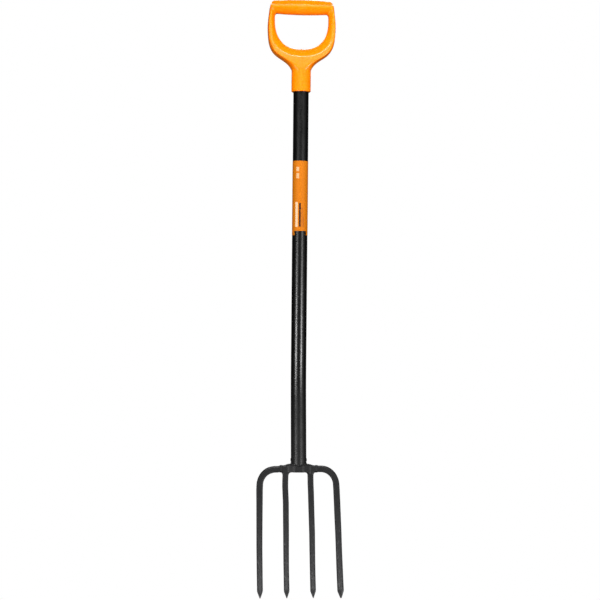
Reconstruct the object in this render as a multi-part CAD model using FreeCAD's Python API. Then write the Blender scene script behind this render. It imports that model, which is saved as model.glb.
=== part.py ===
"""Digging fork: moulded D handle, cranked tube shaft and a welded four-tine steel head.

Frame: millimetres, +Z up. The origin is the middle of the underside of the grip bar, on the
axis of the upper shaft, where a hanging hook carries the tool. The front of the tool, which
the tines are dished towards, faces -Y. X runs across the four tines.
"""
import FreeCAD, Part
import math
import os

V = FreeCAD.Vector

# ---- driving sizes: D handle ---------------------------------------------------------------
HANDLE_WIDTH = 132.4  # across the widest part of the D
HANDLE_HEIGHT = 150.0  # underside of the grip bar down to the mouth of the socket
GRIP_RADIUS = 14.9  # middle of the grip bar
GRIP_END_RADIUS = 12.8
ARM_WIDTH = 13.8  # in the front view, beside the widest part of the opening
ARM_DEPTH = 25.0  # front to back
ARM_ROUND = 4.6  # outer edges of the arms
OPENING_ROUND = 6.4  # edges round the hand opening
OPENING_POWER = 2.4  # fullness of the opening's rounded bottom: 2 is an ellipse
OPENING_SIDE = 11.1  # upright stretch of the opening's sides
OPENING_INSET = 0.6  # the opening's sides start this much under the ends of the grip
YOKE_HEIGHT = 40.6  # bottom of the opening down to the top of the socket
YOKE_CONE = 30.9  # height over which the yoke thickens towards the round socket
SOCKET_LENGTH = 42.0
SOCKET_WALL = 4.1
BORE_DEPTH = 57.0
MOUTH_ROUND = 1.8

# ---- driving sizes: outline of the D in the front view, from the grip down -------------------
# Corner and shoulder: in from the widest part, down from the top of the grip.
CORNER = (9.6, 2.2)
SHOULDER = ((6.0, 8.2), (4.9, 12.8), (2.2, 26.8))
# Sides: in from the widest part, part of the way down to the bottom of the opening.
SIDES = ((0.0, 0.38), (2.9, 0.84), (7.1, 1.02))
# Yoke: part of the way out from the socket to the widest part, part of the yoke's height up.
YOKE = ((0.51, 0.59), (0.38, 0.49), (0.18, 0.31), (0.1, 0.2))

# ---- driving sizes: shaft ------------------------------------------------------------------
TUBE_DIAMETER = 30.0
TUBE_WALL = 2.0
CRANK_DROP = 721.0  # grip underside down to the corner of the crank
CRANK_ANGLE = 9.0  # degrees that the lower shaft leans forward
CRANK_RADIUS = 600.0
FOOT_LENGTH = 162.0  # corner of the crank down the shaft to the middle of the crossbar
LABEL_GAP = 135.0  # socket mouth down to the label
LABEL_LENGTH = 144.0
LABEL_THICKNESS = 0.2
NOTCH_WIDTH = 22.4
NOTCH_HEIGHT = 8.0

# ---- driving sizes: screw ------------------------------------------------------------------
SCREW_RISE = 15.0  # above the socket mouth
SCREW_RADIUS = 2.1
SCREW_REACH = 6.0  # how far the full shank runs on inside the tube
SCREW_POINT = 3.0
SCREW_TIP_RADIUS = 0.4
SCREW_HEAD_RADIUS = 4.2
SCREW_HEAD_HEIGHT = 2.5
SCREW_HEAD_ROUND = 1.3
SCREW_SINK = 2.2  # depth of the seat under the surface of the socket
SLOT_LENGTH = 4.6
SLOT_WIDTH = 0.9
SLOT_FLOOR = 1.1  # metal left under the cross slot

# ---- driving sizes: fork head --------------------------------------------------------------
TINE_PITCH = 49.6  # tine to tine at the crossbar
TINE_LENGTH = 249.0  # middle of the crossbar to the tip, along the curve
TINE_CURVE = 19.0  # degrees that a tine turns forward between crossbar and tip
TINE_SPLAY = 0.4  # degrees that the outer tines lean apart
BAR_WIDTH = 12.3  # outer tines and crossbar, in the front view
INNER_WIDTH = 11.4
BAR_DEPTH = 9.0  # front to back
BEVEL = 2.3
BEND_INSIDE = 24.2  # inside radius where the crossbar turns down into an outer tine
INNER_FILLET = 6.5  # between the bridge and the inner side of an inner tine
OUTER_FILLET = 3.6  # between the bridge and the outer side of an inner tine
BRIDGE_RAISE = 3.0  # the middle of the bridge stands this much above the outer bars
CREST_MARGIN = 5.0  # raised stretch of the bridge beyond the tube on each side
BLEND_RADIUS = 12.0  # between the round boss and the plain bar of the bridge
TIP_LENGTH = 19.0
TIP_SHARES = ((0.55, 0.72), (1.0, 0.3))  # part of the way down the point, size of the bar there

# ---- driving sizes: welds ------------------------------------------------------------------
LIP = 2.6  # how far the foot of the tube laps down over the boss
BEAD = 1.7  # radius of the bead round the foot
BEAD_SINK = 0.8  # the bead's middle line lies this far inside the tube's outer surface
BEAD_DIP = 3.4  # the bead runs this much lower at the front and back than at the sides
PAD_HEIGHT = 7.0
COLLAR_HALF = 2.6  # half the length of the bead round a butt joint
COLLAR_PROUD = 0.9
COLLAR_EDGE = 0.6

# ---- sizes worked out from them ------------------------------------------------------------
HALF_WIDTH = HANDLE_WIDTH / 2
SOCKET_MOUTH = -HANDLE_HEIGHT
SOCKET_TOP = SOCKET_MOUTH + SOCKET_LENGTH
OPENING_BOTTOM = SOCKET_TOP + YOKE_HEIGHT
OPENING_HALF = HALF_WIDTH - ARM_WIDTH
BORE_END = SOCKET_MOUTH + BORE_DEPTH
GRIP_TOP = 2 * GRIP_RADIUS

TUBE_RADIUS = TUBE_DIAMETER / 2
TUBE_BORE = TUBE_RADIUS - TUBE_WALL
SOCKET_RADIUS = TUBE_RADIUS + SOCKET_WALL
LABEL_BOTTOM = SOCKET_MOUTH - LABEL_GAP - LABEL_LENGTH
SEAT_FLOOR = SOCKET_RADIUS - SCREW_SINK
SCREW_HEIGHT = SOCKET_MOUTH + SCREW_RISE

LEAN = math.radians(CRANK_ANGLE)
CRANK_CORNER = V(0, 0, -CRANK_DROP)
CRANK_TANGENT = CRANK_RADIUS * math.tan(LEAN / 2)
SHAFT_DOWN = V(0, -math.sin(LEAN), -math.cos(LEAN))
SHAFT_FRONT = V(0, -math.cos(LEAN), math.sin(LEAN))
FOOT_TOP = FOOT_LENGTH - BAR_WIDTH / 2 - BRIDGE_RAISE
HEAD_CENTRE = CRANK_CORNER + SHAFT_DOWN * FOOT_LENGTH

CURVE_RADIUS = TINE_LENGTH / math.radians(TINE_CURVE)
CURVE_CENTRE = HEAD_CENTRE + SHAFT_FRONT * CURVE_RADIUS
TAPER_ANGLE = LEAN + (TINE_LENGTH - TIP_LENGTH) / CURVE_RADIUS
BRIDGE_HALF = (TINE_PITCH + INNER_WIDTH) / 2 + OUTER_FILLET
BEND_OUTSIDE = BEND_INSIDE + BAR_WIDTH


# ---- helpers -------------------------------------------------------------------------------
def wire_face(edges):
    return Part.Face(Part.Wire(Part.__sortEdges__(edges)))


def curve(points):
    spline = Part.BSplineCurve()
    spline.interpolate(points)
    return spline.toShape()


def arc(centre, radius, start, end):
    """Arc in the XZ plane between two directions given in degrees from +X towards +Z."""
    ends = []
    for degrees in (start, (start + end) / 2, end):
        turn = math.radians(degrees)
        ends.append(centre + V(math.cos(turn), 0, math.sin(turn)) * radius)
    return Part.Arc(ends[0], ends[1], ends[2]).toShape()


def first(edge):
    return edge.valueAt(edge.FirstParameter)


def last(edge):
    return edge.valueAt(edge.LastParameter)


def mirrored(shape):
    """The same shape on the other side of the tool's middle plane."""
    return shape.mirror(V(0, 0, 0), V(1, 0, 0))


def slab(face, depth):
    """Solid made by thickening an XZ face evenly to the front and the back."""
    moved = face.copy()
    moved.translate(V(0, -depth / 2, 0))
    return moved.extrude(V(0, depth, 0))


def leant(shape, from_corner):
    """Moves a shape built upright, at heights below the crank corner, onto the lower shaft."""
    placed = shape.copy()
    placed.translate(V(0, 0, -from_corner))
    placed.rotate(V(0, 0, 0), V(1, 0, 0), -CRANK_ANGLE)
    placed.translate(CRANK_CORNER)
    return placed


# ---- D handle ------------------------------------------------------------------------------
def grip_bar():
    """Barrel-shaped bar, turned about a line across the tool."""
    end = HALF_WIDTH - ARM_ROUND
    left = V(-end, 0, GRIP_RADIUS)
    right = V(end, 0, GRIP_RADIUS)
    rise = V(0, 0, GRIP_END_RADIUS)
    crown = Part.Arc(left + rise, V(0, 0, GRIP_TOP), right + rise).toShape()
    profile = wire_face([
        crown,
        Part.makeLine(right + rise, right),
        Part.makeLine(right, left),
        Part.makeLine(left, left + rise),
    ])
    return profile.revolve(left, V(1, 0, 0), 360)


def handle_outline():
    """Front view of the handle above the socket, without the opening."""
    corner = V(HALF_WIDTH - CORNER[0], 0, GRIP_TOP - CORNER[1])
    neck = V(SOCKET_RADIUS, 0, SOCKET_TOP)
    points = [corner]
    for inset, drop in SHOULDER:
        points.append(V(HALF_WIDTH - inset, 0, GRIP_TOP - drop))
    for inset, way in SIDES:
        points.append(V(HALF_WIDTH - inset, 0, way * OPENING_BOTTOM))
    for out, way in YOKE:
        x = SOCKET_RADIUS + out * (HALF_WIDTH - SOCKET_RADIUS)
        points.append(V(x, 0, SOCKET_TOP + way * YOKE_HEIGHT))
    side = curve(points + [neck])
    crown = Part.Arc(corner, V(0, 0, GRIP_TOP), V(-corner.x, 0, corner.z)).toShape()
    foot = Part.makeLine(neck, V(-neck.x, 0, neck.z))
    return wire_face([side, mirrored(side), crown, foot])


def opening_outline():
    """Front view of the hand opening: straight at the top, with a deep round bottom."""
    side_top = GRIP_RADIUS - GRIP_END_RADIUS - OPENING_INSET
    side_bottom = side_top - OPENING_SIDE
    right = []
    for degrees in range(0, 91, 15):
        turn = math.radians(degrees)
        x = OPENING_HALF * abs(math.cos(turn)) ** (2 / OPENING_POWER)
        drop = (side_bottom - OPENING_BOTTOM) * math.sin(turn) ** (2 / OPENING_POWER)
        right.append(V(x, 0, side_bottom - drop))
    right[-1] = V(0, 0, OPENING_BOTTOM)
    left = [V(-p.x, 0, p.z) for p in reversed(right[:-1])]
    bottom = curve(right + left)
    top_right = V(OPENING_HALF, 0, side_top)
    top_left = V(-OPENING_HALF, 0, side_top)
    return wire_face([
        bottom,
        Part.makeLine(right[0], top_right),
        Part.makeLine(top_right, top_left),
        Part.makeLine(top_left, left[-1]),
    ])


def flat_edges(solid):
    """Edges that lie wholly in the front face or the back face of the frame of the D."""
    found = []
    for edge in solid.Edges:
        box = edge.BoundBox
        if box.YLength < 1e-6 and abs(abs(box.YMin) - ARM_DEPTH / 2) < 1e-6:
            found.append(edge)
    return found


def make_handle():
    """One moulding: D frame, grip bar, yoke and socket, with a blind bore for the shaft."""
    outline = handle_outline()
    frame = slab(outline, ARM_DEPTH)
    outer_edges = [e for e in flat_edges(frame) if e.BoundBox.ZMax > SOCKET_TOP + 1]
    frame = frame.makeFillet(ARM_ROUND, outer_edges)
    frame = frame.cut(slab(opening_outline(), ARM_DEPTH))
    bowl = []
    for edge in flat_edges(frame):
        box = edge.BoundBox
        if box.XLength > OPENING_HALF and box.ZMin > OPENING_BOTTOM - 1:
            bowl.append(edge)
    frame = frame.makeFillet(OPENING_ROUND, bowl)

    socket = Part.makeCylinder(SOCKET_RADIUS, SOCKET_LENGTH, V(0, 0, SOCKET_MOUTH))
    mouth = [e for e in socket.Edges if e.BoundBox.ZMax < SOCKET_MOUTH + 0.01]
    socket = socket.makeFillet(MOUTH_ROUND, mouth)
    cone_end = ARM_DEPTH / 2 - MOUTH_ROUND
    cone = Part.makeCone(SOCKET_RADIUS, cone_end, YOKE_CONE, V(0, 0, SOCKET_TOP))
    clear = slab(outline, 3 * SOCKET_RADIUS)
    body = frame.fuse([grip_bar().common(clear), cone.common(clear), socket])
    bore = Part.makeCylinder(TUBE_RADIUS, BORE_DEPTH, V(0, 0, SOCKET_MOUTH))
    return body.removeSplitter().cut(bore).cut(screw_space())


# ---- screw at the back of the socket -------------------------------------------------------
def screw_space():
    """Seat and pilot hole that the screw fills, through the socket wall and the tube wall."""
    at_floor = V(0, SEAT_FLOOR, SCREW_HEIGHT)
    seat = Part.makeCylinder(SCREW_HEAD_RADIUS, SOCKET_RADIUS, at_floor, V(0, 1, 0))
    hole = Part.makeCylinder(SCREW_RADIUS, SEAT_FLOOR, V(0, 0, SCREW_HEIGHT), V(0, 1, 0))
    return seat.fuse(hole)


def make_screw():
    """Self-tapping screw: domed head with a cross slot, plain shank and a short point."""
    shank_end = TUBE_BORE - SCREW_REACH
    out = V(0, 1, 0)
    at_floor = V(0, SEAT_FLOOR, SCREW_HEIGHT)
    at_end = V(0, shank_end, SCREW_HEIGHT)
    at_tip = V(0, shank_end - SCREW_POINT, SCREW_HEIGHT)
    shank = Part.makeCylinder(SCREW_RADIUS, SEAT_FLOOR - shank_end, at_end, out)
    tip = Part.makeCone(SCREW_TIP_RADIUS, SCREW_RADIUS, SCREW_POINT, at_tip, out)
    head = Part.makeCylinder(SCREW_HEAD_RADIUS, SCREW_HEAD_HEIGHT, at_floor, out)
    rim = [e for e in head.Edges if e.BoundBox.YMin > SEAT_FLOOR + SCREW_HEAD_ROUND]
    screw = head.makeFillet(SCREW_HEAD_ROUND, rim).fuse([shank, tip])
    corner = V(-SLOT_LENGTH / 2, SEAT_FLOOR + SLOT_FLOOR, -SLOT_WIDTH / 2)
    for turn in (45, 135):
        slot = Part.makeBox(SLOT_LENGTH, SCREW_HEAD_HEIGHT, SLOT_WIDTH, corner)
        slot.rotate(V(0, 0, 0), out, turn)
        slot.translate(V(0, 0, SCREW_HEIGHT))
        screw = screw.cut(slot)
    return screw.removeSplitter()


# ---- shaft ---------------------------------------------------------------------------------
def cranked_rod(radius, foot):
    """Solid rod along the shaft, ending at foot, measured from the crank corner."""
    bend_top = -CRANK_DROP + CRANK_TANGENT
    upper = Part.makeCylinder(radius, BORE_END - bend_top, V(0, 0, bend_top))
    disc = Part.Face(Part.Wire(Part.makeCircle(radius, V(0, 0, bend_top), V(0, 0, 1))))
    bend = disc.revolve(V(0, -CRANK_RADIUS, bend_top), V(1, 0, 0), -CRANK_ANGLE)
    lower_length = foot - CRANK_TANGENT
    lower = leant(Part.makeCylinder(radius, lower_length), foot)
    return upper.fuse([bend, lower]).removeSplitter()


def make_shaft(bridge):
    """Bent tube whose foot laps over the boss of the bridge."""
    foot = FOOT_TOP + LIP
    tube = cranked_rod(TUBE_RADIUS, foot).cut(cranked_rod(TUBE_BORE, foot + LIP))
    return tube.cut(bridge).cut(screw_space())


def make_label():
    """Printed film wrapped round the upper shaft, notched at the bottom of its front."""
    bottom = V(0, 0, LABEL_BOTTOM)
    outside = Part.makeCylinder(TUBE_RADIUS + LABEL_THICKNESS, LABEL_LENGTH, bottom)
    inside = Part.makeCylinder(TUBE_RADIUS, LABEL_LENGTH, bottom)
    corner = V(-NOTCH_WIDTH / 2, -TUBE_DIAMETER, LABEL_BOTTOM)
    notch = Part.makeBox(NOTCH_WIDTH, TUBE_DIAMETER, NOTCH_HEIGHT, corner)
    return outside.cut(inside).cut(notch)


# ---- fork head -----------------------------------------------------------------------------
def dished(angle, offset=0.0):
    """Point on the curved middle surface of the tines where it leans forward by angle.

    A positive offset is towards the back.
    """
    outward = V(0, math.cos(angle), -math.sin(angle))
    return CURVE_CENTRE + outward * (CURVE_RADIUS + offset)


def dished_plate():
    """Curved plate as thick as the bars, which the front views of the tines are cut from."""
    half_span = 2 * TINE_PITCH
    half = BAR_DEPTH / 2
    start = LEAN - BAR_WIDTH / CURVE_RADIUS
    middle = (start + TAPER_ANGLE) / 2
    back = Part.Arc(dished(start, half), dished(middle, half), dished(TAPER_ANGLE, half))
    front = Part.Arc(dished(TAPER_ANGLE, -half), dished(middle, -half), dished(start, -half))
    face = wire_face([
        back.toShape(),
        Part.makeLine(dished(TAPER_ANGLE, half), dished(TAPER_ANGLE, -half)),
        front.toShape(),
        Part.makeLine(dished(start, -half), dished(start, half)),
    ])
    face.translate(V(-half_span, 0, 0))
    return face.extrude(V(2 * half_span, 0, 0))


def outer_outline():
    """Front view of the right outer tine, down to where its point starts."""
    top = HEAD_CENTRE.z + BAR_WIDTH / 2
    centre_x = 1.5 * TINE_PITCH + BAR_WIDTH / 2 - BEND_OUTSIDE
    centre = V(centre_x, 0, top - BEND_OUTSIDE)
    outside = arc(centre, BEND_OUTSIDE, 90, TINE_SPLAY)
    inside = arc(centre, BEND_INSIDE, TINE_SPLAY, 90)
    run = centre.z - dished(TAPER_ANGLE).z + BAR_DEPTH
    down = V(math.tan(math.radians(TINE_SPLAY)) * run, 0, -run)
    joint_top = V(BRIDGE_HALF, 0, top)
    joint_bottom = V(BRIDGE_HALF, 0, top - BAR_WIDTH)
    outside_end = last(outside) + down
    inside_end = first(inside) + down
    return wire_face([
        Part.makeLine(joint_top, first(outside)),
        outside,
        Part.makeLine(last(outside), outside_end),
        Part.makeLine(outside_end, inside_end),
        Part.makeLine(inside_end, first(inside)),
        inside,
        Part.makeLine(last(inside), joint_bottom),
        Part.makeLine(joint_bottom, joint_top),
    ])


def inner_outline():
    """Front view of the forging that makes both inner tines and the bridge between them."""
    middle = HEAD_CENTRE.z
    top = middle + BAR_WIDTH / 2 + BRIDGE_RAISE
    bottom = middle - BAR_WIDTH / 2
    end = dished(TAPER_ANGLE).z - BAR_DEPTH
    outer_side = (TINE_PITCH + INNER_WIDTH) / 2
    inner_side = (TINE_PITCH - INNER_WIDTH) / 2
    outer_fillet = arc(V(BRIDGE_HALF, 0, bottom - OUTER_FILLET), OUTER_FILLET, 90, 180)
    inner_centre = V(inner_side - INNER_FILLET, 0, bottom - INNER_FILLET)
    inner_fillet = arc(inner_centre, INNER_FILLET, 0, 90)
    crest = V(TUBE_RADIUS + CREST_MARGIN, 0, top)
    shoulder = V(BRIDGE_HALF, 0, middle + BAR_WIDTH / 2)
    right = [
        Part.makeLine(crest, shoulder),
        Part.makeLine(shoulder, first(outer_fillet)),
        outer_fillet,
        Part.makeLine(last(outer_fillet), V(outer_side, 0, end)),
        Part.makeLine(V(outer_side, 0, end), V(inner_side, 0, end)),
        Part.makeLine(V(inner_side, 0, end), first(inner_fillet)),
        inner_fillet,
    ]
    left = [mirrored(edge) for edge in right]
    arch = last(inner_fillet)
    middle_lines = [
        Part.makeLine(crest, V(-crest.x, 0, top)),
        Part.makeLine(arch, V(-arch.x, 0, bottom)),
    ]
    return wire_face(right + left + middle_lines)


def long_edges(bar):
    """Edges between a bar's front or back face and its sides, leaving out its ends."""
    found = []
    for edge in bar.Edges:
        middle = edge.valueAt((edge.FirstParameter + edge.LastParameter) / 2)
        arm = middle - CURVE_CENTRE
        offset = math.hypot(arm.y, arm.z) - CURVE_RADIUS
        at_face = abs(abs(offset) - BAR_DEPTH / 2) < 0.05
        flat = edge.BoundBox.XLength < 0.01
        at_joint = flat and abs(abs(middle.x) - BRIDGE_HALF) < 0.01
        at_tip = abs(math.atan2(-arm.z, arm.y) - TAPER_ANGLE) < 0.001
        if at_face and not at_joint and not at_tip:
            found.append(edge)
    return found


def with_points(bar):
    """Adds a blunt point to every flat end that faces down along the tines."""
    ends = []
    for face in bar.Faces:
        arm = face.CenterOfMass - CURVE_CENTRE
        if abs(math.atan2(-arm.z, arm.y) - TAPER_ANGLE) < 0.0005:
            ends.append(face)
    for face in ends:
        wires = [face.OuterWire]
        for way, share in TIP_SHARES:
            wire = face.OuterWire.copy()
            wire.scale(share, face.CenterOfMass)
            angle = TAPER_ANGLE + way * TIP_LENGTH / CURVE_RADIUS
            wire.translate(dished(angle) - dished(TAPER_ANGLE))
            wires.append(wire)
        bar = bar.fuse(Part.makeLoft(wires, True))
    return bar


def bent_bar(outline):
    """Bevelled bar with this front view, curved forward and pointed."""
    bar = slab(outline, 4 * CURVE_RADIUS).common(dished_plate())
    return with_points(bar.makeChamfer(BEVEL, long_edges(bar)))


def boss():
    """Round swelling of the bridge, in line with the lower shaft, that plugs the tube."""
    half = BAR_DEPTH / 2
    sweep = half + BLEND_RADIUS
    span = TUBE_BORE + BLEND_RADIUS
    reach = math.sqrt(span**2 - sweep**2)
    blend_centre = V(reach, sweep, 0)
    corner = V(reach, half, 0)
    touch = blend_centre * (TUBE_BORE / span)
    halfway = (corner + touch) / 2 - blend_centre
    quarter = [corner, blend_centre + halfway / halfway.Length * BLEND_RADIUS, touch]
    edges = []
    for x_side in (-1, 1):
        for y_side in (-1, 1):
            ends = [V(x_side * p.x, y_side * p.y, 0) for p in quarter]
            edges.append(Part.Arc(ends[0], ends[1], ends[2]).toShape())
        edges.append(Part.makeLine(V(x_side * reach, half, 0), V(x_side * reach, -half, 0)))
    for y_side in (-1, 1):
        right_end = V(touch.x, y_side * touch.y, 0)
        left_end = V(-touch.x, y_side * touch.y, 0)
        edges.append(Part.Arc(right_end, V(0, y_side * TUBE_BORE, 0), left_end).toShape())
    height = BAR_WIDTH + BRIDGE_RAISE
    return leant(wire_face(edges).extrude(V(0, 0, height)), FOOT_TOP + height)


# ---- weld beads ----------------------------------------------------------------------------
def make_tine_weld(bridge, tine):
    """Low bead right round the butt joint between the bridge and the right outer tine."""
    half_wide = BAR_WIDTH / 2 + COLLAR_PROUD
    half_deep = BAR_DEPTH / 2 + COLLAR_PROUD
    corners = []
    for y_side, z_side in ((1, 1), (1, -1), (-1, -1), (-1, 1)):
        flat_corner = V(0, y_side * half_deep, z_side * (half_wide - BEVEL))
        edge_corner = V(0, y_side * (half_deep - BEVEL), z_side * half_wide)
        if y_side == z_side:
            corners += [edge_corner, flat_corner]
        else:
            corners += [flat_corner, edge_corner]
    ring = Part.Face(Part.makePolygon(corners + corners[:1]))
    collar = ring.extrude(V(2 * COLLAR_HALF, 0, 0))
    rims = [e for e in collar.Edges if e.BoundBox.XLength < 0.01]
    collar = collar.makeChamfer(COLLAR_EDGE, rims)
    collar.translate(V(BRIDGE_HALF - COLLAR_HALF, 0, 0))
    return leant(collar, FOOT_LENGTH).cut(bridge).cut(tine)


def make_shaft_weld(bridge, shaft):
    """Bead round the foot of the tube: a saddle-shaped run with a longer pad on each side."""
    path_radius = TUBE_RADIUS - BEAD_SINK
    pieces = []
    for side in (-1, 1):
        points = []
        for degrees in range(0, 181, 30):
            turn = math.radians(degrees)
            x = path_radius * math.cos(turn)
            y = side * path_radius * math.sin(turn)
            points.append(V(x, y, -BEAD_DIP * math.sin(turn) ** 2))
        run = curve(points)
        heading = run.tangentAt(run.FirstParameter)
        ring = Part.Wire(Part.makeCircle(BEAD, points[0], heading))
        pieces.append(Part.Wire(run).makePipeShell([ring], True, True))
        foot = V(side * path_radius, 0, 0)
        pieces.append(Part.makeCylinder(BEAD, PAD_HEIGHT, foot, V(0, 0, 1)))
        pieces.append(Part.makeSphere(BEAD, foot))
        pieces.append(Part.makeSphere(BEAD, foot + V(0, 0, PAD_HEIGHT)))
    bead = pieces[0].fuse(pieces[1:])
    inside = Part.makeCylinder(TUBE_RADIUS, 2 * PAD_HEIGHT)
    return leant(bead.cut(inside), FOOT_TOP).cut(shaft).cut(bridge)


# ---- the whole tool ------------------------------------------------------------------------
def build():
    """Every piece of the tool by the name of its node."""
    outer = bent_bar(outer_outline())
    bridge = bent_bar(inner_outline()).fuse(boss()).removeSplitter()
    shaft = make_shaft(bridge)
    tine_weld = make_tine_weld(bridge, outer)
    return {
        "d_handle": make_handle(),
        "handle_screw": make_screw(),
        "shaft_tube": shaft,
        "label_wrap": make_label(),
        "inner_tine_pair": bridge,
        "outer_tine_left": mirrored(outer),
        "outer_tine_right": outer,
        "tine_weld_left": mirrored(tine_weld),
        "tine_weld_right": tine_weld,
        "shaft_weld": make_shaft_weld(bridge, shaft),
    }


os.makedirs("parts", exist_ok=True)
for node, shape in build().items():
    shape.exportStep("parts/" + node + ".step")
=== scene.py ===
"""Looks of the digging fork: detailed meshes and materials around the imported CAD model.

Sizes are millimetres in the CAD frame (origin at the grip's underside, +Z up, front at -Y) and
are turned into metres when a mesh is made.
"""

import math

import bpy
import numpy as np
from mathutils import Matrix, Vector


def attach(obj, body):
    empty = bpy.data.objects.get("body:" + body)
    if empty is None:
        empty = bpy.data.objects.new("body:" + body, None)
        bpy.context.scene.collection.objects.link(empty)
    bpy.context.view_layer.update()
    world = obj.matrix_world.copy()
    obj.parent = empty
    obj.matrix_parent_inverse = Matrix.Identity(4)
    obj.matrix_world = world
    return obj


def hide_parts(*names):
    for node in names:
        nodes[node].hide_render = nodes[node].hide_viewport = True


MM = 0.001

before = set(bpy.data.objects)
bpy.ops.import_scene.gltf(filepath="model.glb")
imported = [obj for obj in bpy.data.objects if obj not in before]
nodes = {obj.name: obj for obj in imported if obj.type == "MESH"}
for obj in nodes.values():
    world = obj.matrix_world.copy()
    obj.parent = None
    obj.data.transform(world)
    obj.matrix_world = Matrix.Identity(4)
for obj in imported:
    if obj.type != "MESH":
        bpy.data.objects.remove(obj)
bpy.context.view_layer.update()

# ---- sizes shared with the CAD part ---------------------------------------------------------
# D handle. Heights are measured from the underside of the grip bar.
HALF_WIDTH = 66.2
GRIP_RADIUS = 14.9
OPENING_HALF = 52.4
OPENING_BOTTOM = -67.4
SOCKET_RADIUS = 19.1
SOCKET_TOP = -108.0
SOCKET_MOUTH = -150.0
BORE_END = -93.0
SCREW_Z = -135.0
SEAT_RADIUS = 4.25
SEAT_FLOOR = 17.2

# Tube and label.
TUBE_RADIUS = 15.0
SHAFT_PLUG = 13.0
LABEL_TOP = -285.0
LABEL_BOTTOM = -429.0
CRANK_CORNER = -721.0
LEAN = math.radians(9)
FOOT_LENGTH = 162.0

# Fork head. Its bars lie on a cylinder whose axis is far in front of the tool.
TINE_PITCH = 49.6
TINE_LENGTH = 249.0
TINE_CURVE = math.radians(19)
BAR_HALF = 6.15
INNER_HALF = 5.7
BAR_HALF_DEPTH = 4.5
BEVEL = 1.3
BRIDGE_HALF = 34.1
BRIDGE_RAISE = 3.0
BEND_RADIUS = 30.35
TIP_LENGTH = 16.0
FOOT_BEAD = 1.55
FOOT_BEAD_UP = 9.5
FOOT_BEAD_DIP = 3.4
FOOT_PAD_TOP = 19.0
HEAD_Y = -FOOT_LENGTH * math.sin(LEAN)
HEAD_Z = CRANK_CORNER - FOOT_LENGTH * math.cos(LEAN)
CURVE_RADIUS = TINE_LENGTH / TINE_CURVE
CURVE_Y = HEAD_Y - CURVE_RADIUS * math.cos(LEAN)
CURVE_Z = HEAD_Z + CURVE_RADIUS * math.sin(LEAN)
OUTER_LINE = 1.5 * TINE_PITCH

# ---- finer sizes of the detailed meshes -----------------------------------------------------
# Spacing of the grid that each surface is found on.
HANDLE_STEP = 0.8
HEAD_STEP = 1.0
WELD_STEP = 0.5

# Grip bar: slimmer towards its ends, which are rounded off.
GRIP_TAPER = 1.7
GRIP_TAPER_AT = 48.0
GRIP_END_ROUND = 6.0
GRIP_BLEND = 9.0

# Arms and yoke: a bevel falls to the hand opening and a round to the outside, with a crest
# between them. The pairs are distances below the grip, between which the shape changes.
ARM_TOP = GRIP_RADIUS + 1
ARM_HALF_DEPTH = 15.5
ARM_DEEPENS = (20, 118)
INNER_LAND = 3.5
ARM_BEVEL = 7.8
YOKE_BEVEL = 16.6
BEVEL_WIDENS = (25, 64)
BEVEL_POWER = 1.35
OUTER_LAND = 4.0
OUTER_LAND_FADES = (60, 112)
ARM_ROUND = 3.0
YOKE_ROUND = 6.5
ROUND_WIDENS = (45, 66)
SOCKET_TURNS_ROUND = (82, 116)
CREST_BLEND = 1.5

# Hand opening: straight sides down to this height, then a squarish half round.
OPENING_SIDE_END = -9.6
OPENING_POWER = 2.4
OPENING_TOP = 6.0

# Socket mouth, screw seat, gate mark at the bottom of the opening, and clearance to the tube.
MOUTH_ROUND = 1.8
SEAT_EDGE = 0.6
GATE_RADIUS = 0.7
GATE_STRETCH = 1.6
GATE_Y = -4.0
GATE_BLEND = 0.8
TUBE_GAP = 0.05
NO_BORE = -9.0

# Forged bars: soft edges, and a blunt point. The steps pair the way along the point with how
# much of the bar is gone there.
BAR_EDGE = 0.6
BEVEL_EDGE = 1.4
POINT_ROUND = 1.5
POINT_SLIMMING = ((0, 0.0), (0.14, 0.04), (1, 0.78))
SPLAY = math.tan(math.radians(0.4))
SAG_BEGINS = (34, 42)
SAG_ENDS = (50, 66)

# Bridge: its raised crest, the fillets to the inner tines and the thick block for the tube.
CREST_HALF = 18.0
INNER_TINE_TOP = 2.0
TINE_FILLET = 7.0
BLOCK_FADES = (5, 25)
BLOCK_EDGE = 3.0
BLOCK_START = 0.05

# Weld round the foot: how deep it sinks into the tube, and its ripples.
BEAD_SUNK = 0.7
BEAD_RIPPLE = 0.18
BEAD_RIPPLES = 44
PAD_RIPPLE = 0.12
PAD_STRETCH = 1.5

# Room below and in front of the crossbar that holds the tines.
TINE_ROOM_FRONT = 84.0
TINE_ROOM_DOWN = 238.0


# ---- mesh helpers ---------------------------------------------------------------------------
def make_object(name, points, normals, faces):
    """Smooth-shaded mesh object from points in millimetres."""
    mesh = bpy.data.meshes.new(name)
    mesh.from_pydata((points * MM).tolist(), [], faces.tolist())
    mesh.update()
    mesh.polygons.foreach_set("use_smooth", [True] * len(mesh.polygons))
    mesh.normals_split_custom_set_from_vertices(normals.tolist())
    obj = bpy.data.objects.new(name, mesh)
    bpy.context.scene.collection.objects.link(obj)
    return obj


def surface_nets(field, low, high, step):
    """Points, quads and normals of the zero level of field(x, y, z) inside a box."""
    axes = [np.arange(a, b + step, step) for a, b in zip(low, high)]
    grid = np.meshgrid(*axes, indexing="ij")
    values = field(grid[0], grid[1], grid[2])
    inside = values < 0
    place, used = cell_places(values, inside)
    index = -np.ones(used.shape, int)
    index[used] = np.arange(used.sum())
    origin = np.array([a[0] for a in axes])
    points = origin + (np.argwhere(used) + place[used]) * step
    return settled(field, points, step) + (quads_between(inside, index),)


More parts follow.
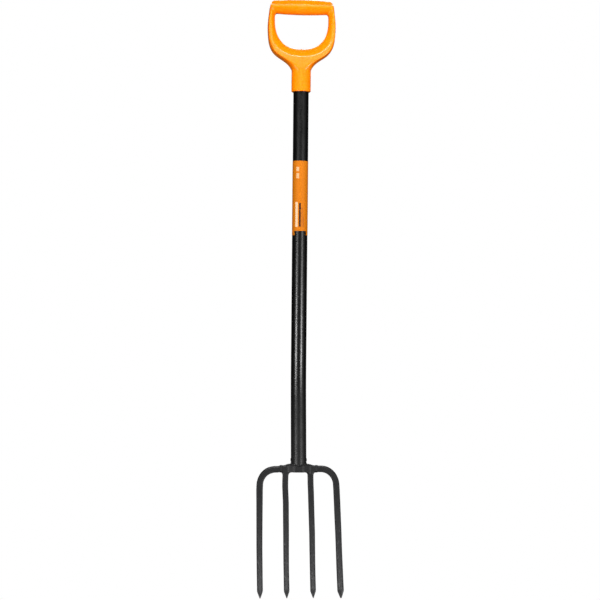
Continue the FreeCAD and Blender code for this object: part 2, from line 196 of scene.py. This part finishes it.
def cell_places(values, inside):
    """Mean of the crossings on each cell's edges, as a share of the cell, and which have any."""
    shape = np.array(values.shape) - 1
    total = np.zeros(tuple(shape) + (3,))
    count = np.zeros(tuple(shape))
    for axis in range(3):
        others = [i for i in range(3) if i != axis]
        for first in (0, 1):
            for second in (0, 1):
                start = [0, 0, 0]
                start[others[0]] = first
                start[others[1]] = second
                near = tuple(slice(start[i], start[i] + shape[i]) for i in range(3))
                ahead = list(near)
                ahead[axis] = slice(1, 1 + shape[axis])
                a = values[near]
                b = values[tuple(ahead)]
                crossing = inside[near] != inside[tuple(ahead)]
                share = np.where(crossing, a / np.where(crossing, a - b, 1.0), 0.0)
                for i in range(3):
                    offset = share if i == axis else start[i] * 1.0
                    total[..., i] += np.where(crossing, offset, 0.0)
                count += crossing
    return total / np.maximum(count, 1)[..., None], count > 0


def quads_between(inside, index):
    """Quads that join the points of the four cells round every edge the surface crosses."""
    shape = index.shape
    quads = []
    for axis in range(3):
        others = [(axis + 1) % 3, (axis + 2) % 3]
        inner = [slice(1, n) for n in shape]
        lower = list(inner)
        lower[axis] = slice(0, shape[axis])
        upper = list(inner)
        upper[axis] = slice(1, shape[axis] + 1)
        here = inside[tuple(lower)]
        there = inside[tuple(upper)]
        for flip, mask in ((False, here & ~there), (True, ~here & there)):
            at = np.argwhere(mask) + np.array([0 if i == axis else 1 for i in range(3)])
            ring = []
            for da, db in ((0, 0), (-1, 0), (-1, -1), (0, -1)):
                cell = at.copy()
                cell[:, others[0]] += da
                cell[:, others[1]] += db
                ring.append(index[cell[:, 0], cell[:, 1], cell[:, 2]])
            block = np.stack(ring, 1)
            quads.append(block[:, ::-1] if flip else block)
    return np.concatenate(quads)


def settled(field, points, step, passes=4):
    """Points moved onto the zero level, at most 0.3 of a step at a time, and normals."""
    small = 0.02 * step
    most = 0.3 * step
    for _ in range(passes):
        normal = gradient(field, points, small)
        length = np.linalg.norm(normal, axis=1)
        value = field(points[:, 0], points[:, 1], points[:, 2])
        move = np.clip(value / np.maximum(length, 1e-3), -most, most)
        points = points - normal / np.maximum(length, 1e-6)[:, None] * move[:, None]
    normal = gradient(field, points, small)
    normal /= np.maximum(np.linalg.norm(normal, axis=1), 1e-9)[:, None]
    return points, normal


def gradient(field, points, small):
    """Slope of the field at each point, from differences over a small distance."""
    out = np.zeros_like(points)
    for i in range(3):
        ahead = points.copy()
        behind = points.copy()
        ahead[:, i] += small
        behind[:, i] -= small
        out[:, i] = field(*ahead.T) - field(*behind.T)
    return out / (2 * small)


def smooth_least(a, b, reach):
    """Smaller of two fields, with a fillet where they are within reach of each other."""
    share = np.clip(0.5 + 0.5 * (b - a) / reach, 0, 1)
    return b + (a - b) * share - reach * share * (1 - share)


def smooth_most(a, b, reach):
    """Larger of two fields, with a soft edge where they are within reach of each other."""
    return -smooth_least(-a, -b, reach)


def rounded_meet(a, b, radius):
    """Field of the part inside both a and b, with the edge between them rounded."""
    corner = np.hypot(np.maximum(a + radius, 0), np.maximum(b + radius, 0))
    return corner + np.minimum(np.maximum(a, b), -radius)


def ease(value, low, high):
    """Smooth step from 0 at low to 1 at high."""
    share = np.clip((value - low) / (high - low), 0, 1)
    return share * share * (3 - 2 * share)


def eased(first, last, value, stretch):
    """Smooth change from first to last over a stretch of the value."""
    return first + (last - first) * ease(value, *stretch)


def at_steps(value, steps):
    """Quantity given at a few steps of the value, straight between them."""
    places, amounts = zip(*steps)
    return np.interp(value, places, amounts)


# ---- D handle -------------------------------------------------------------------------------
def spline_through(points, per_span=24):
    """Natural cubic spline through points, as a dense run of points."""
    points = np.asarray(points, float)
    count = len(points)
    gaps = np.linalg.norm(np.diff(points, axis=0), axis=1)
    matrix = np.eye(count)
    right = np.zeros_like(points)
    for i in range(1, count - 1):
        matrix[i, i - 1 : i + 2] = gaps[i - 1], 2 * (gaps[i - 1] + gaps[i]), gaps[i]
        ahead = (points[i + 1] - points[i]) / gaps[i]
        behind = (points[i] - points[i - 1]) / gaps[i - 1]
        right[i] = 6 * (ahead - behind)
    bends = np.linalg.solve(matrix, right)
    out = []
    for i in range(count - 1):
        share = np.linspace(0, 1, per_span, endpoint=False)[:, None]
        gap = gaps[i]
        pull = ((1 - share) ** 3 - (1 - share)) * bends[i] + (share**3 - share) * bends[i + 1]
        out.append(points[i] * (1 - share) + points[i + 1] * share + pull * gap * gap / 6)
    return np.concatenate(out + [points[-1:]])


def handle_side():
    """Right side of the handle's outline in the front view, from socket up to the grip."""
    return spline_through([
        (SOCKET_RADIUS, SOCKET_TOP),
        (23.9, -99.8),
        (31.7, -92.0),
        (42.9, -84.2),
        (50.9, -78.4),
        (56.4, -72.5),
        (60.9, -64.7),
        (HALF_WIDTH - 0.9, -43.0),
        (HALF_WIDTH, -25.6),
        (HALF_WIDTH - 1.9, -0.5),
        (HALF_WIDTH - 3.0, 7.3),
        (HALF_WIDTH - 4.8, 17.0),
        (HALF_WIDTH - 6.0, 21.5),
        (HALF_WIDTH - 6.4, 2 * GRIP_RADIUS + 3),
    ])


def opening_edge():
    """Closed outline of the hand opening in the front view."""
    turn = np.linspace(0, math.pi, 121)
    x = np.sign(np.cos(turn)) * np.abs(np.cos(turn)) ** (2 / OPENING_POWER) * OPENING_HALF
    drop = (OPENING_SIDE_END - OPENING_BOTTOM) * np.abs(np.sin(turn)) ** (2 / OPENING_POWER)
    bottom = np.stack([x, OPENING_SIDE_END - drop], 1)
    return np.concatenate([bottom, [(-OPENING_HALF, OPENING_TOP), (OPENING_HALF, OPENING_TOP)]])


class PlaneDistance:
    """Distance from a closed outline in the XZ plane, positive outside it, kept on a grid."""

    def __init__(self, outline, low, high, step=0.5):
        self.low = np.array(low, float)
        self.step = step
        xs = np.arange(low[0], high[0] + step, step)
        zs = np.arange(low[1], high[1] + step, step)
        gx, gz = np.meshgrid(xs, zs, indexing="ij")
        best = np.full(gx.shape, 1e9)
        inside = np.zeros(gx.shape, bool)
        for a, b in zip(outline, np.roll(outline, -1, axis=0)):
            along = b - a
            length = max(float(along @ along), 1e-12)
            share = ((gx - a[0]) * along[0] + (gz - a[1]) * along[1]) / length
            share = np.clip(share, 0, 1)
            near = np.hypot(gx - a[0] - share * along[0], gz - a[1] - share * along[1])
            best = np.minimum(best, near)
            spans = (a[1] > gz) != (b[1] > gz)
            rise = b[1] - a[1] if b[1] != a[1] else 1e-12
            inside ^= spans & (gx < (gz - a[1]) * along[0] / rise + a[0])
        self.values = np.where(inside, -best, best)

    def __call__(self, x, z):
        shape = self.values.shape
        fx = np.clip((x - self.low[0]) / self.step, 0, shape[0] - 1.001)
        fz = np.clip((z - self.low[1]) / self.step, 0, shape[1] - 1.001)
        ix = fx.astype(int)
        iz = fz.astype(int)
        sx = fx - ix
        sz = fz - iz
        v = self.values
        lower = v[ix, iz] * (1 - sx) + v[ix + 1, iz] * sx
        upper = v[ix, iz + 1] * (1 - sx) + v[ix + 1, iz + 1] * sx
        return lower * (1 - sz) + upper * sz


def grip_field(ax, ay, z, wide):
    """Grip bar between the handle's sides. ax and ay are distances from the middle planes."""
    radius = GRIP_RADIUS - GRIP_TAPER * (ax / GRIP_TAPER_AT) ** 2
    barrel = np.hypot(ay, z - GRIP_RADIUS) - radius
    return rounded_meet(barrel, ax - wide, GRIP_END_ROUND)


def arms_field(ax, ay, z, wide, from_opening):
    """Arms, yoke and socket, which share one crest between the bevel and the outer round."""
    deep = eased(ARM_HALF_DEPTH, SOCKET_RADIUS, -z, ARM_DEEPENS)
    bevel_deep = deep - INNER_LAND
    bevel_wide = eased(ARM_BEVEL, YOKE_BEVEL, -z, BEVEL_WIDENS)
    across = np.maximum((ay - deep) / bevel_deep + 1, 0)
    inward = np.maximum(1 - from_opening / bevel_wide, 0)
    scoop = (across**BEVEL_POWER + inward**BEVEL_POWER) ** (1 / BEVEL_POWER) - 1

    round_deep = deep - eased(OUTER_LAND, 0.0, -z, OUTER_LAND_FADES)
    round_wide = eased(ARM_ROUND, YOKE_ROUND, -z, ROUND_WIDENS)
    round_wide = round_wide + (SOCKET_RADIUS - YOKE_ROUND) * ease(-z, *SOCKET_TURNS_ROUND)
    across = np.maximum((ay - deep) / round_deep + 1, 0)
    outward = np.maximum(1 - (wide - ax) / round_wide, 0)
    rim = np.hypot(across, outward) - 1
    arms = smooth_most(scoop * bevel_deep, rim * round_deep, CREST_BLEND)
    return np.maximum(arms, z - ARM_TOP)


def make_handle():
    """The whole moulding, with the socket's bore, the screw's seat and the gate mark."""
    side = handle_side()
    opening = PlaneDistance(opening_edge(), (0, SOCKET_MOUTH - 10), (HALF_WIDTH + 3, 34))

    def field(x, y, z):
        ax = np.abs(x)
        ay = np.abs(y)
        wide = np.interp(z, side[:, 1], side[:, 0])
        arms = arms_field(ax, ay, z, wide, opening(ax, z))
        whole = smooth_least(grip_field(ax, ay, z, wide), arms, GRIP_BLEND)
        whole = smooth_most(whole, ax - wide, CREST_BLEND)
        whole = rounded_meet(whole, SOCKET_MOUTH - z, MOUTH_ROUND)
        seat = np.maximum(np.hypot(x, z - SCREW_Z) - SEAT_RADIUS, SEAT_FLOOR - y)
        whole = smooth_most(whole, -seat, SEAT_EDGE)
        off_gate = np.hypot(np.hypot(x, (y - GATE_Y) / GATE_STRETCH), z - OPENING_BOTTOM)
        whole = smooth_least(whole, off_gate - GATE_RADIUS, GATE_BLEND)
        bore = np.where(z < BORE_END, TUBE_RADIUS + TUBE_GAP - np.hypot(x, y), NO_BORE)
        return np.maximum(whole, bore)

    low = (-HALF_WIDTH - 2, -SOCKET_RADIUS - 2, SOCKET_MOUTH - 2)
    high = (HALF_WIDTH + 2, SOCKET_RADIUS + 2, 2 * GRIP_RADIUS + 2)
    return surface_nets(field, low, high, HANDLE_STEP)


# ---- fork head ------------------------------------------------------------------------------
def dished(y, z):
    """Depth behind the middle surface of the tines, and way down along it from the crossbar."""
    depth = np.hypot(y - CURVE_Y, z - CURVE_Z) - CURVE_RADIUS
    down = (np.arctan2(CURVE_Z - z, y - CURVE_Y) - LEAN) * CURVE_RADIUS
    return depth, down


def forged_bar(side, depth, down):
    """Field of a bevelled bar from its front-view distance, drawn down to a blunt point."""
    way = np.clip((down - (TINE_LENGTH - TIP_LENGTH)) / TIP_LENGTH, 0, 1)
    slimming = at_steps(way, POINT_SLIMMING)
    face = np.abs(depth) - BAR_HALF_DEPTH * (1 - slimming)
    side = side + BAR_HALF * slimming
    bevel = (face + side + BEVEL * (1 - slimming)) / math.sqrt(2)
    body = smooth_most(smooth_most(face, side, BAR_EDGE), bevel, BEVEL_EDGE)
    return smooth_most(body, down - TINE_LENGTH, POINT_ROUND)


# How far each tine wanders sideways from its straight line, and its half width, at a few drops
# below the crossbar. Hand-forged bars are never quite true.
OUTER_DRIFT = {
    -1: ((0, 0.0), (20, 0.4), (40, 1.2), (64, 1.1), (148, 1.3), (225, 0.8)),
    1: ((-6, -0.7), (0, -1.3), (15, -2.0), (28, -1.9), (40, -1.4), (64, -0.8), (120, 0.1)),
}
OUTER_HALF = {
    -1: ((0, BAR_HALF), (40, 6.3), (70, 6.05), (120, 5.75), (230, 5.45)),
    1: ((0, BAR_HALF), (90, 6.15), (145, 5.85), (180, 6.0), (230, 6.05)),
}
INNER_DRIFT = {
    -1: ((10, -0.6), (22, -1.2), (34, -1.4), (64, -0.3), (120, -0.5), (175, -1.2), (230, -1.4)),
    1: ((10, -2.0), (28, -1.9), (45, -1.3), (92, -0.6), (120, -0.2), (175, -0.7), (230, -1.1)),
}
INNER_WIDTHS = ((0, INNER_HALF), (60, 5.65), (120, 5.5), (190, 5.15), (230, 5.25))
BAR_SAG = {-1: 0.9, 1: 0.1}


def make_outer_tine(hand):
    """Crossbar end, bend and tine in one bar. hand is 1 on the right and -1 on the left."""
    bend_x = OUTER_LINE - BEND_RADIUS
    bend_z = HEAD_Z - BEND_RADIUS

    def field(x, y, z):
        depth, down = dished(y, z)
        drop = HEAD_Z - z
        out = hand * x - at_steps(drop, OUTER_DRIFT[hand])
        half = at_steps(drop, OUTER_HALF[hand])
        sag = BAR_SAG[hand] * ease(out, *SAG_BEGINS) * (1 - ease(out, *SAG_ENDS))
        in_bar = np.abs(z + sag - HEAD_Z)
        in_bend = np.abs(np.hypot(out - bend_x, z + sag - bend_z) - BEND_RADIUS)
        in_tine = np.abs(out - OUTER_LINE - SPLAY * (bend_z - z))
        off = np.where(z < bend_z, in_tine, np.where(out < bend_x, in_bar, in_bend))
        bar = forged_bar(off - half, depth, down)
        return np.maximum(bar, BRIDGE_HALF - hand * x)

    across = sorted((hand * (BRIDGE_HALF - 2), hand * (OUTER_LINE + 12)))
    low = (across[0], HEAD_Y - TINE_ROOM_FRONT, HEAD_Z - TINE_ROOM_DOWN)
    high = (across[1], HEAD_Y + 8, HEAD_Z + 9)
    return surface_nets(field, low, high, HEAD_STEP)


def make_bridge():
    """Both inner tines and the bridge between them, with the thick block under the shaft."""
    underside = HEAD_Z - BAR_HALF

    def field(x, y, z):
        depth, down = dished(y, z)
        drop = HEAD_Z - z
        crest = BRIDGE_RAISE * (1 - ease(np.abs(x), CREST_HALF, BRIDGE_HALF - 2))
        bridge = np.abs(z - HEAD_Z - crest / 2) - BAR_HALF - crest / 2
        tines = []
        for hand in (-1, 1):
            centre = hand * TINE_PITCH / 2 + at_steps(drop, INNER_DRIFT[hand])
            tine = np.abs(x - centre) - at_steps(drop, INNER_WIDTHS)
            tines.append(np.maximum(tine, z - HEAD_Z - INNER_TINE_TOP))
        side = smooth_least(bridge, np.minimum(*tines), TINE_FILLET)
        swell = (SHAFT_PLUG - BAR_HALF_DEPTH) * (1 - ease(np.abs(x), *BLOCK_FADES))
        swell = swell * ease(z, underside - 5, underside + 1)
        bar = forged_bar(side, depth, down)
        block = smooth_most(np.abs(depth) - BAR_HALF_DEPTH - swell, side, BLOCK_EDGE)
        whole = np.where(swell > BLOCK_START, np.minimum(bar, block), bar)
        return np.maximum(whole, np.abs(x) - BRIDGE_HALF)

    low = (-BRIDGE_HALF - 2, HEAD_Y - TINE_ROOM_FRONT, HEAD_Z - TINE_ROOM_DOWN)
    high = (BRIDGE_HALF + 2, HEAD_Y + 18, HEAD_Z + 13)
    return surface_nets(field, low, high, HEAD_STEP)


def make_foot_weld():
    """Rippled bead round the foot of the tube, with a longer pad up each side of it."""
    def field(x, y, z):
        up = (y - HEAD_Y) * math.sin(LEAN) + (z - HEAD_Z) * math.cos(LEAN)
        back = (y - HEAD_Y) * math.cos(LEAN) - (z - HEAD_Z) * math.sin(LEAN)
        radius = np.hypot(x, back)
        turn = np.arctan2(back, x)
        level = FOOT_BEAD_UP - FOOT_BEAD_DIP * np.sin(turn) ** 2
        ripple = BEAD_RIPPLE * np.cos(BEAD_RIPPLES * turn + 0.5 * np.sin(5 * turn))
        run = np.hypot(radius - TUBE_RADIUS + BEAD_SUNK, up - level) - FOOT_BEAD - ripple
        above = up - np.clip(up, level, FOOT_PAD_TOP)
        reach = FOOT_BEAD * (0.7 + 0.3 * ease(up, 13, 17)) + PAD_RIPPLE * np.cos(1.6 * up)
        beside = np.abs(x) - TUBE_RADIUS + BEAD_SUNK
        pad = np.hypot(np.hypot(beside, back / PAD_STRETCH), above) - reach
        bead = smooth_least(run, pad, 1.0)
        return np.maximum(bead, TUBE_RADIUS - 0.02 - radius)

    low = (-TUBE_RADIUS - 4, HEAD_Y - 19, HEAD_Z)
    high = (TUBE_RADIUS + 4, HEAD_Y + 22, HEAD_Z + 27)
    return surface_nets(field, low, high, WELD_STEP)


# ---- materials ------------------------------------------------------------------------------
class Finish:
    """A material on the Principled shader, with helpers that add nodes to it."""

    def __init__(self, name, colour, roughness, specular=0.5, metallic=0.0):
        self.material = bpy.data.materials.new(name)
        self.material.use_nodes = True
        self.tree = self.material.node_tree
        self.shader = self.tree.nodes["Principled BSDF"]
        self.shader.inputs["Base Color"].default_value = (*colour, 1)
        self.shader.inputs["Roughness"].default_value = roughness
        self.shader.inputs["Specular IOR Level"].default_value = specular
        self.shader.inputs["Metallic"].default_value = metallic
        self.place = self.node("ShaderNodeTexCoord").outputs["Object"]
        self.height = None

    def node(self, kind, **values):
        """New node with some of its settings."""
        made = self.tree.nodes.new(kind)
        for name, value in values.items():
            setattr(made, name, value)
        return made

    def feed(self, socket, value):
        """Sets a socket to a number or colour, or links it to another socket."""
        if isinstance(value, (int, float, tuple)):
            socket.default_value = value
        else:
            self.tree.links.new(value, socket)

    def maths(self, operation, first, second=0.0, third=0.0):
        """Result of one maths node."""
        made = self.node("ShaderNodeMath", operation=operation)
        for socket, value in zip(made.inputs, (first, second, third)):
            self.feed(socket, value)
        return made.outputs[0]

    def noise(self, scale, detail=3.0, stretch=(1, 1, 1)):
        """Noise with this many features in a metre, centred on 0.5."""
        moved = self.node("ShaderNodeMapping")
        self.feed(moved.inputs["Vector"], self.place)
        moved.inputs["Scale"].default_value = stretch
        made = self.node("ShaderNodeTexNoise")
        self.feed(made.inputs["Vector"], moved.outputs[0])
        made.inputs["Scale"].default_value = scale
        made.inputs["Detail"].default_value = detail
        return made.outputs["Fac"]

    def axis(self, letter):
        """Object coordinate along one axis, in metres."""
        split = self.node("ShaderNodeSeparateXYZ")
        self.feed(split.inputs[0], self.place)
        return split.outputs[letter]

    def between(self, value, low, high, start=0.0, end=1.0):
        """Straight change from start, where the value is low, to end, where it is high."""
        made = self.node("ShaderNodeMapRange")
        for socket, number in zip(made.inputs, (value, low, high, start, end)):
            self.feed(socket, number)
        return made.outputs[0]

    def mix(self, share, first, second):
        """Colour that share of the way from first to second."""
        made = self.node("ShaderNodeMix", data_type="RGBA")
        self.feed(made.inputs[0], share)
        for socket, colour in ((made.inputs[6], first), (made.inputs[7], second)):
            self.feed(socket, (*colour, 1) if isinstance(colour, tuple) else colour)
        return made.outputs[2]

    def colour(self, value):
        """Gives the shader its colour."""
        self.feed(self.shader.inputs["Base Color"], value)

    def roughness(self, value):
        """Gives the shader its roughness."""
        self.feed(self.shader.inputs["Roughness"], value)

    def bump(self, value, millimetres):
        """Adds relief of this height over the relief that is there already."""
        made = self.node("ShaderNodeBump")
        made.inputs["Distance"].default_value = millimetres * MM
        self.feed(made.inputs["Height"], value)
        if self.height is not None:
            self.feed(made.inputs["Normal"], self.height)
        self.height = made.outputs[0]
        self.feed(self.shader.inputs["Normal"], self.height)

    def put_on(self, obj):
        """Makes this the only material of an object."""
        obj.data.materials.clear()
        obj.data.materials.append(self.material)


def moulded_plastic():
    """Orange polypropylene: satin, finely grained, and dulled in the middle of the grip."""
    made = Finish("orange_moulding", (0.96, 0.215, 0.001), 0.26, 0.25)
    made.shader.inputs["Subsurface Weight"].default_value = 0.1
    made.shader.inputs["Subsurface Radius"].default_value = (1.0, 0.2, 0.04)
    made.shader.inputs["Subsurface Scale"].default_value = 2.5 * MM
    flow = made.noise(25, 2, (1, 1, 0.4))
    flow = made.between(flow, 0.3, 0.7)
    made.colour(made.mix(flow, (0.95, 0.207, 0.001), (0.97, 0.221, 0.001)))
    grain = made.between(made.noise(160, 4), 0.3, 0.7, 0.25, 0.3)
    off_middle = made.maths("ABSOLUTE", made.axis("X"))
    duller = made.between(off_middle, 4 * MM, 8 * MM, 0.12, 0.0)
    on_grip = made.between(made.axis("Z"), 0.0, 4 * MM)
    made.roughness(made.maths("MULTIPLY_ADD", duller, on_grip, grain))
    made.bump(made.noise(1800, 2), 0.01)
    made.bump(made.noise(45, 1), 0.02)
    return made


def powder_coat():
    """Black powder coat on the tube: glossy, and greyer below the crank, where the grey is painted
    light from below.
    """
    black = (0.001, 0.001, 0.001)
    painted_light_grey = (0.0105, 0.0105, 0.0105)
    made = Finish("tube_powder_coat", black, 0.28, 0.42)
    # Painted light: below the crank the coat gets a greyer colour that stands in for light from
    # below, not a change in the coat.
    low = made.between(made.axis("Z"), (CRANK_CORNER + 25) * MM, (CRANK_CORNER - 120) * MM)
    made.colour(made.mix(low, black, painted_light_grey))
    made.roughness(made.between(made.noise(140, 4, (1, 1, 0.3)), 0.3, 0.7, 0.25, 0.31))
    made.bump(made.noise(420, 2), 0.005)
    made.bump(made.noise(2600, 2), 0.0015)
    return made


def head_paint():
    """Black enamel over forged steel: uneven, lighter towards the points as painted light, with
    pale pits and rubs low on the tines.
    """
    made = Finish("head_enamel", (0.016, 0.016, 0.0165), 0.33, 0.14)
    # Mask that grows down the tines: it places both the real wear marks and the painted light
    # below.
    low = made.between(made.axis("Z"), HEAD_Z * MM - 0.05, HEAD_Z * MM - 0.2)
    rub = made.between(made.noise(300, 5, (1, 1, 0.2)), 0.55, 0.8)
    pits = made.between(made.noise(900, 2), 0.66, 0.74)
    worn = made.maths("MULTIPLY", made.maths("MAXIMUM", rub, pits), low)
    mottle = made.mix(made.noise(60, 3), (0.012, 0.012, 0.0125), (0.018, 0.018, 0.0185))
    # Painted light: the enamel turns paler down the tines, standing in for light on their lower
    # parts, which curve up towards it.
    painted_light_tines = made.mix(low, mottle, (0.024, 0.024, 0.0245))
    made.colour(made.mix(worn, painted_light_tines, (0.08, 0.08, 0.083)))
    made.roughness(made.between(made.noise(190, 4), 0.3, 0.7, 0.32, 0.42))
    made.bump(made.noise(70, 2, (1, 1, 0.6)), 0.05)
    made.bump(made.noise(900, 3), 0.012)
    return made


def weld_metal():
    """Painted weld: ripples of the pool under the same black enamel."""
    made = Finish("weld_bead", (0.014, 0.014, 0.0145), 0.36, 0.2)
    made.colour(made.mix(made.noise(500, 4), (0.01, 0.01, 0.0105), (0.022, 0.022, 0.0225)))
    made.roughness(made.between(made.noise(700, 3), 0.3, 0.7, 0.3, 0.5))
    made.bump(made.noise(330, 4), 0.35)
    return made


# The label's plain print: left, right, bottom and top edges round the tube and up it, and ink.
PRINT_FOOT = LABEL_BOTTOM + 16
INK_EDGE = 0.15
PRINTS = (
    (-10.5, -5.5, PRINT_FOOT, PRINT_FOOT + 48, (0.62, 0.42, 0.26)),
    (-3.0, 0.4, PRINT_FOOT, PRINT_FOOT + 46, (0.03, 0.012, 0.008)),
    (2.2, 3.6, PRINT_FOOT, PRINT_FOOT + 38, (0.3, 0.08, 0.01)),
    (5.2, 6.4, PRINT_FOOT, PRINT_FOOT + 20, (0.3, 0.08, 0.01)),
    (-9.0, -3.4, LABEL_TOP - 20, LABEL_TOP - 12, (0.6, 0.34, 0.17)),
    (-9.0, -3.4, LABEL_TOP - 34, LABEL_TOP - 24, (0.6, 0.34, 0.17)),
)


def printed_film():
    """Satin orange film with plain printed stripes and blocks."""
    made = Finish("label_film", (0.48, 0.134, 0.004), 0.5, 0.08)
    toward = made.maths("MULTIPLY", made.axis("Y"), -1.0)
    turn = made.maths("ARCTAN2", made.axis("X"), toward)
    around = made.maths("MULTIPLY", turn, TUBE_RADIUS)
    up = made.maths("MULTIPLY", made.axis("Z"), 1 / MM)

    def patch(left, right, bottom, top):
        """Mask of a printed rectangle: millimetres round the tube and up it."""
        masks = []
        for value, low, high in ((around, left, right), (up, bottom, top)):
            masks.append(made.between(value, low - INK_EDGE, low + INK_EDGE))
            masks.append(made.between(value, high + INK_EDGE, high - INK_EDGE))
        whole = masks[0]
        for mask in masks[1:]:
            whole = made.maths("MULTIPLY", whole, mask)
        return whole

    film = made.mix(made.noise(30, 2), (0.47, 0.131, 0.004), (0.5, 0.139, 0.004))
    for left, right, bottom, top, ink in PRINTS:
        film = made.mix(patch(left, right, bottom, top), film, ink)
    made.colour(film)
    made.roughness(made.between(made.noise(220, 3), 0.3, 0.7, 0.45, 0.55))
    made.bump(made.noise(700, 2), 0.003)
    return made


def plated_steel():
    """Zinc plate on the screw, dulled unevenly."""
    made = Finish("screw_zinc", (0.52, 0.53, 0.55), 0.3, 0.5, 1.0)
    made.roughness(made.between(made.noise(900, 3), 0.3, 0.7, 0.24, 0.42))
    made.bump(made.noise(1500, 2), 0.01)
    return made


# ---- pieces ---------------------------------------------------------------------------------
def stand_in(obj, node, finish):
    """Shows a detailed piece in place of a CAD node."""
    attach(obj, "root")
    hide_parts(node)
    finish.put_on(obj)


enamel = head_paint()
weld = weld_metal()
handle = make_object("handle_moulding", *make_handle())
stand_in(handle, "d_handle", moulded_plastic())
bridge = make_object("bridge_forging", *make_bridge())
stand_in(bridge, "inner_tine_pair", enamel)
for hand, side in ((-1, "left"), (1, "right")):
    bar = make_object("outer_bar_" + side, *make_outer_tine(hand))
    stand_in(bar, "outer_tine_" + side, enamel)
powder_coat().put_on(nodes["shaft_tube"])
printed_film().put_on(nodes["label_wrap"])
plated_steel().put_on(nodes["handle_screw"])
for name in ("tine_weld_left", "tine_weld_right"):
    weld.put_on(nodes[name])
foot_bead = make_object("foot_bead", *make_foot_weld())
stand_in(foot_bead, "shaft_weld", weld)


# ---- studio ---------------------------------------------------------------------------------
# Metres and watts from here on.
SENSOR_MM = 36.0
LENS_MM = 89.3
VIEW_HEIGHT = -0.555
VIEW_DISTANCE = 2.9
VIEW_AZIMUTH = math.radians(-4.5)
VIEW_ROLL = math.radians(0.518)
VIEW_SIDE = 0.00166
MIDDLE = -0.5
DOME_RADIUS = 12
FLOOR_RADIUS = 1.5
FLOOR_HEIGHT = -1.45
WORLD_STRENGTH = 0.025

# Name, azimuth and elevation in degrees, distance, size, watts, and the height it aims at.
# Azimuth 0 is in front of the tool, and positive is to its right.
LIGHTS = (
    ("left_strip", -44, -6, 4.0, (0.8, 0.5), 92, -0.6),
    ("right_strip", 34, -6, 4.0, (0.8, 0.5), 92, -0.6),
    ("front_box", 0, 40, 2.2, (1.0, 0.4), 48, MIDDLE),
    ("low_left_fill", -58, -22, 2.0, (0.8, 0.5), 6.0, MIDDLE),
    ("low_right_fill", 58, -22, 2.0, (0.8, 0.5), 5.0, MIDDLE),
    ("rear_fill", 180, 45, 2.5, (1.6, 1.2), 30, MIDDLE),
    ("left_fill", -25, 5, 2.0, (0.3, 1.2), 1.3, MIDDLE),
    ("right_fill", 60, 0, 1.6, (0.6, 1.4), 1.2, -0.6),
    ("low_fill", 0, -89, 0.4, (1.8, 1.8), 0.8, -0.98),
)


def add_camera():
    """Long lens level with the middle of the tool, a little to the left of square on."""
    data = bpy.data.cameras.new("camera")
    data.sensor_width = SENSOR_MM
    data.lens = LENS_MM
    camera = bpy.data.objects.new("camera", data)
    back = Vector((math.sin(VIEW_AZIMUTH), -math.cos(VIEW_AZIMUTH), 0))
    right = Vector((math.cos(VIEW_AZIMUTH), math.sin(VIEW_AZIMUTH), 0))
    place = Vector((0, 0, VIEW_HEIGHT)) + back * VIEW_DISTANCE + right * VIEW_SIDE
    turn = Matrix.Rotation(VIEW_AZIMUTH, 4, "Z") @ Matrix.Rotation(math.pi / 2, 4, "X")
    camera.matrix_world = Matrix.Translation(place) @ turn @ Matrix.Rotation(VIEW_ROLL, 4, "Z")
    bpy.context.scene.collection.objects.link(camera)
    bpy.context.scene.camera = camera


def add_softbox(name, azimuth, elevation, distance, size, watts, height):
    """Rectangular light aimed at the tool, hidden from the camera."""
    data = bpy.data.lights.new(name, "AREA")
    data.shape = "RECTANGLE"
    data.size, data.size_y = size
    data.energy = watts
    light = bpy.data.objects.new(name, data)
    light.visible_camera = False
    across = math.radians(azimuth)
    up = math.radians(elevation)
    away = Vector((math.sin(across) * math.cos(up), -math.cos(across) * math.cos(up), math.sin(up)))
    light.location = Vector((0, 0, height)) + away * distance
    light.rotation_euler = away.to_track_quat("Z", "Y").to_euler()
    bpy.context.scene.collection.objects.link(light)


def stage_material(name, colour, glow):
    """Matt surface that also glows white."""
    made = bpy.data.materials.new(name)
    made.use_nodes = True
    shader = made.node_tree.nodes["Principled BSDF"]
    shader.inputs["Base Color"].default_value = (*colour, 1)
    shader.inputs["Roughness"].default_value = 0.9
    shader.inputs["Specular IOR Level"].default_value = 0.0
    shader.inputs["Emission Color"].default_value = (1, 1, 1, 1)
    shader.inputs["Emission Strength"].default_value = glow
    return made


def name_stage_piece(name, material):
    """Names the stage mesh just added. Its surface adds no light to the tool."""
    piece = bpy.context.object
    piece.name = name
    piece.data.materials.append(material)
    piece.visible_diffuse = False
    piece.visible_glossy = False
    return piece


def add_stage():
    """White surround that only the camera sees, and a pale floor well below the tool."""
    add_sphere = bpy.ops.mesh.primitive_uv_sphere_add
    add_sphere(segments=48, ring_count=24, radius=DOME_RADIUS, location=(0, 0, MIDDLE))
    dome = name_stage_piece("stage_dome", stage_material("stage_white", (0, 0, 0), 1.0))
    dome.visible_transmission = False
    dome.visible_shadow = False
    add_circle = bpy.ops.mesh.primitive_circle_add
    below = (0, 0, FLOOR_HEIGHT)
    add_circle(vertices=96, radius=FLOOR_RADIUS, fill_type="NGON", location=below)
    floor = name_stage_piece("stage_floor", stage_material("stage_pale", (0.6, 0.6, 0.6), 0.55))


def add_world():
    """Faint even light from all round."""
    world = bpy.data.worlds.new("studio")
    world.use_nodes = True
    background = world.node_tree.nodes["Background"]
    background.inputs["Color"].default_value = (1, 1, 1, 1)
    background.inputs["Strength"].default_value = WORLD_STRENGTH
    bpy.context.scene.world = world


add_camera()
for light in LIGHTS:
    add_softbox(*light)
add_stage()
add_world()
bpy.context.scene.view_settings.view_transform = "Standard"
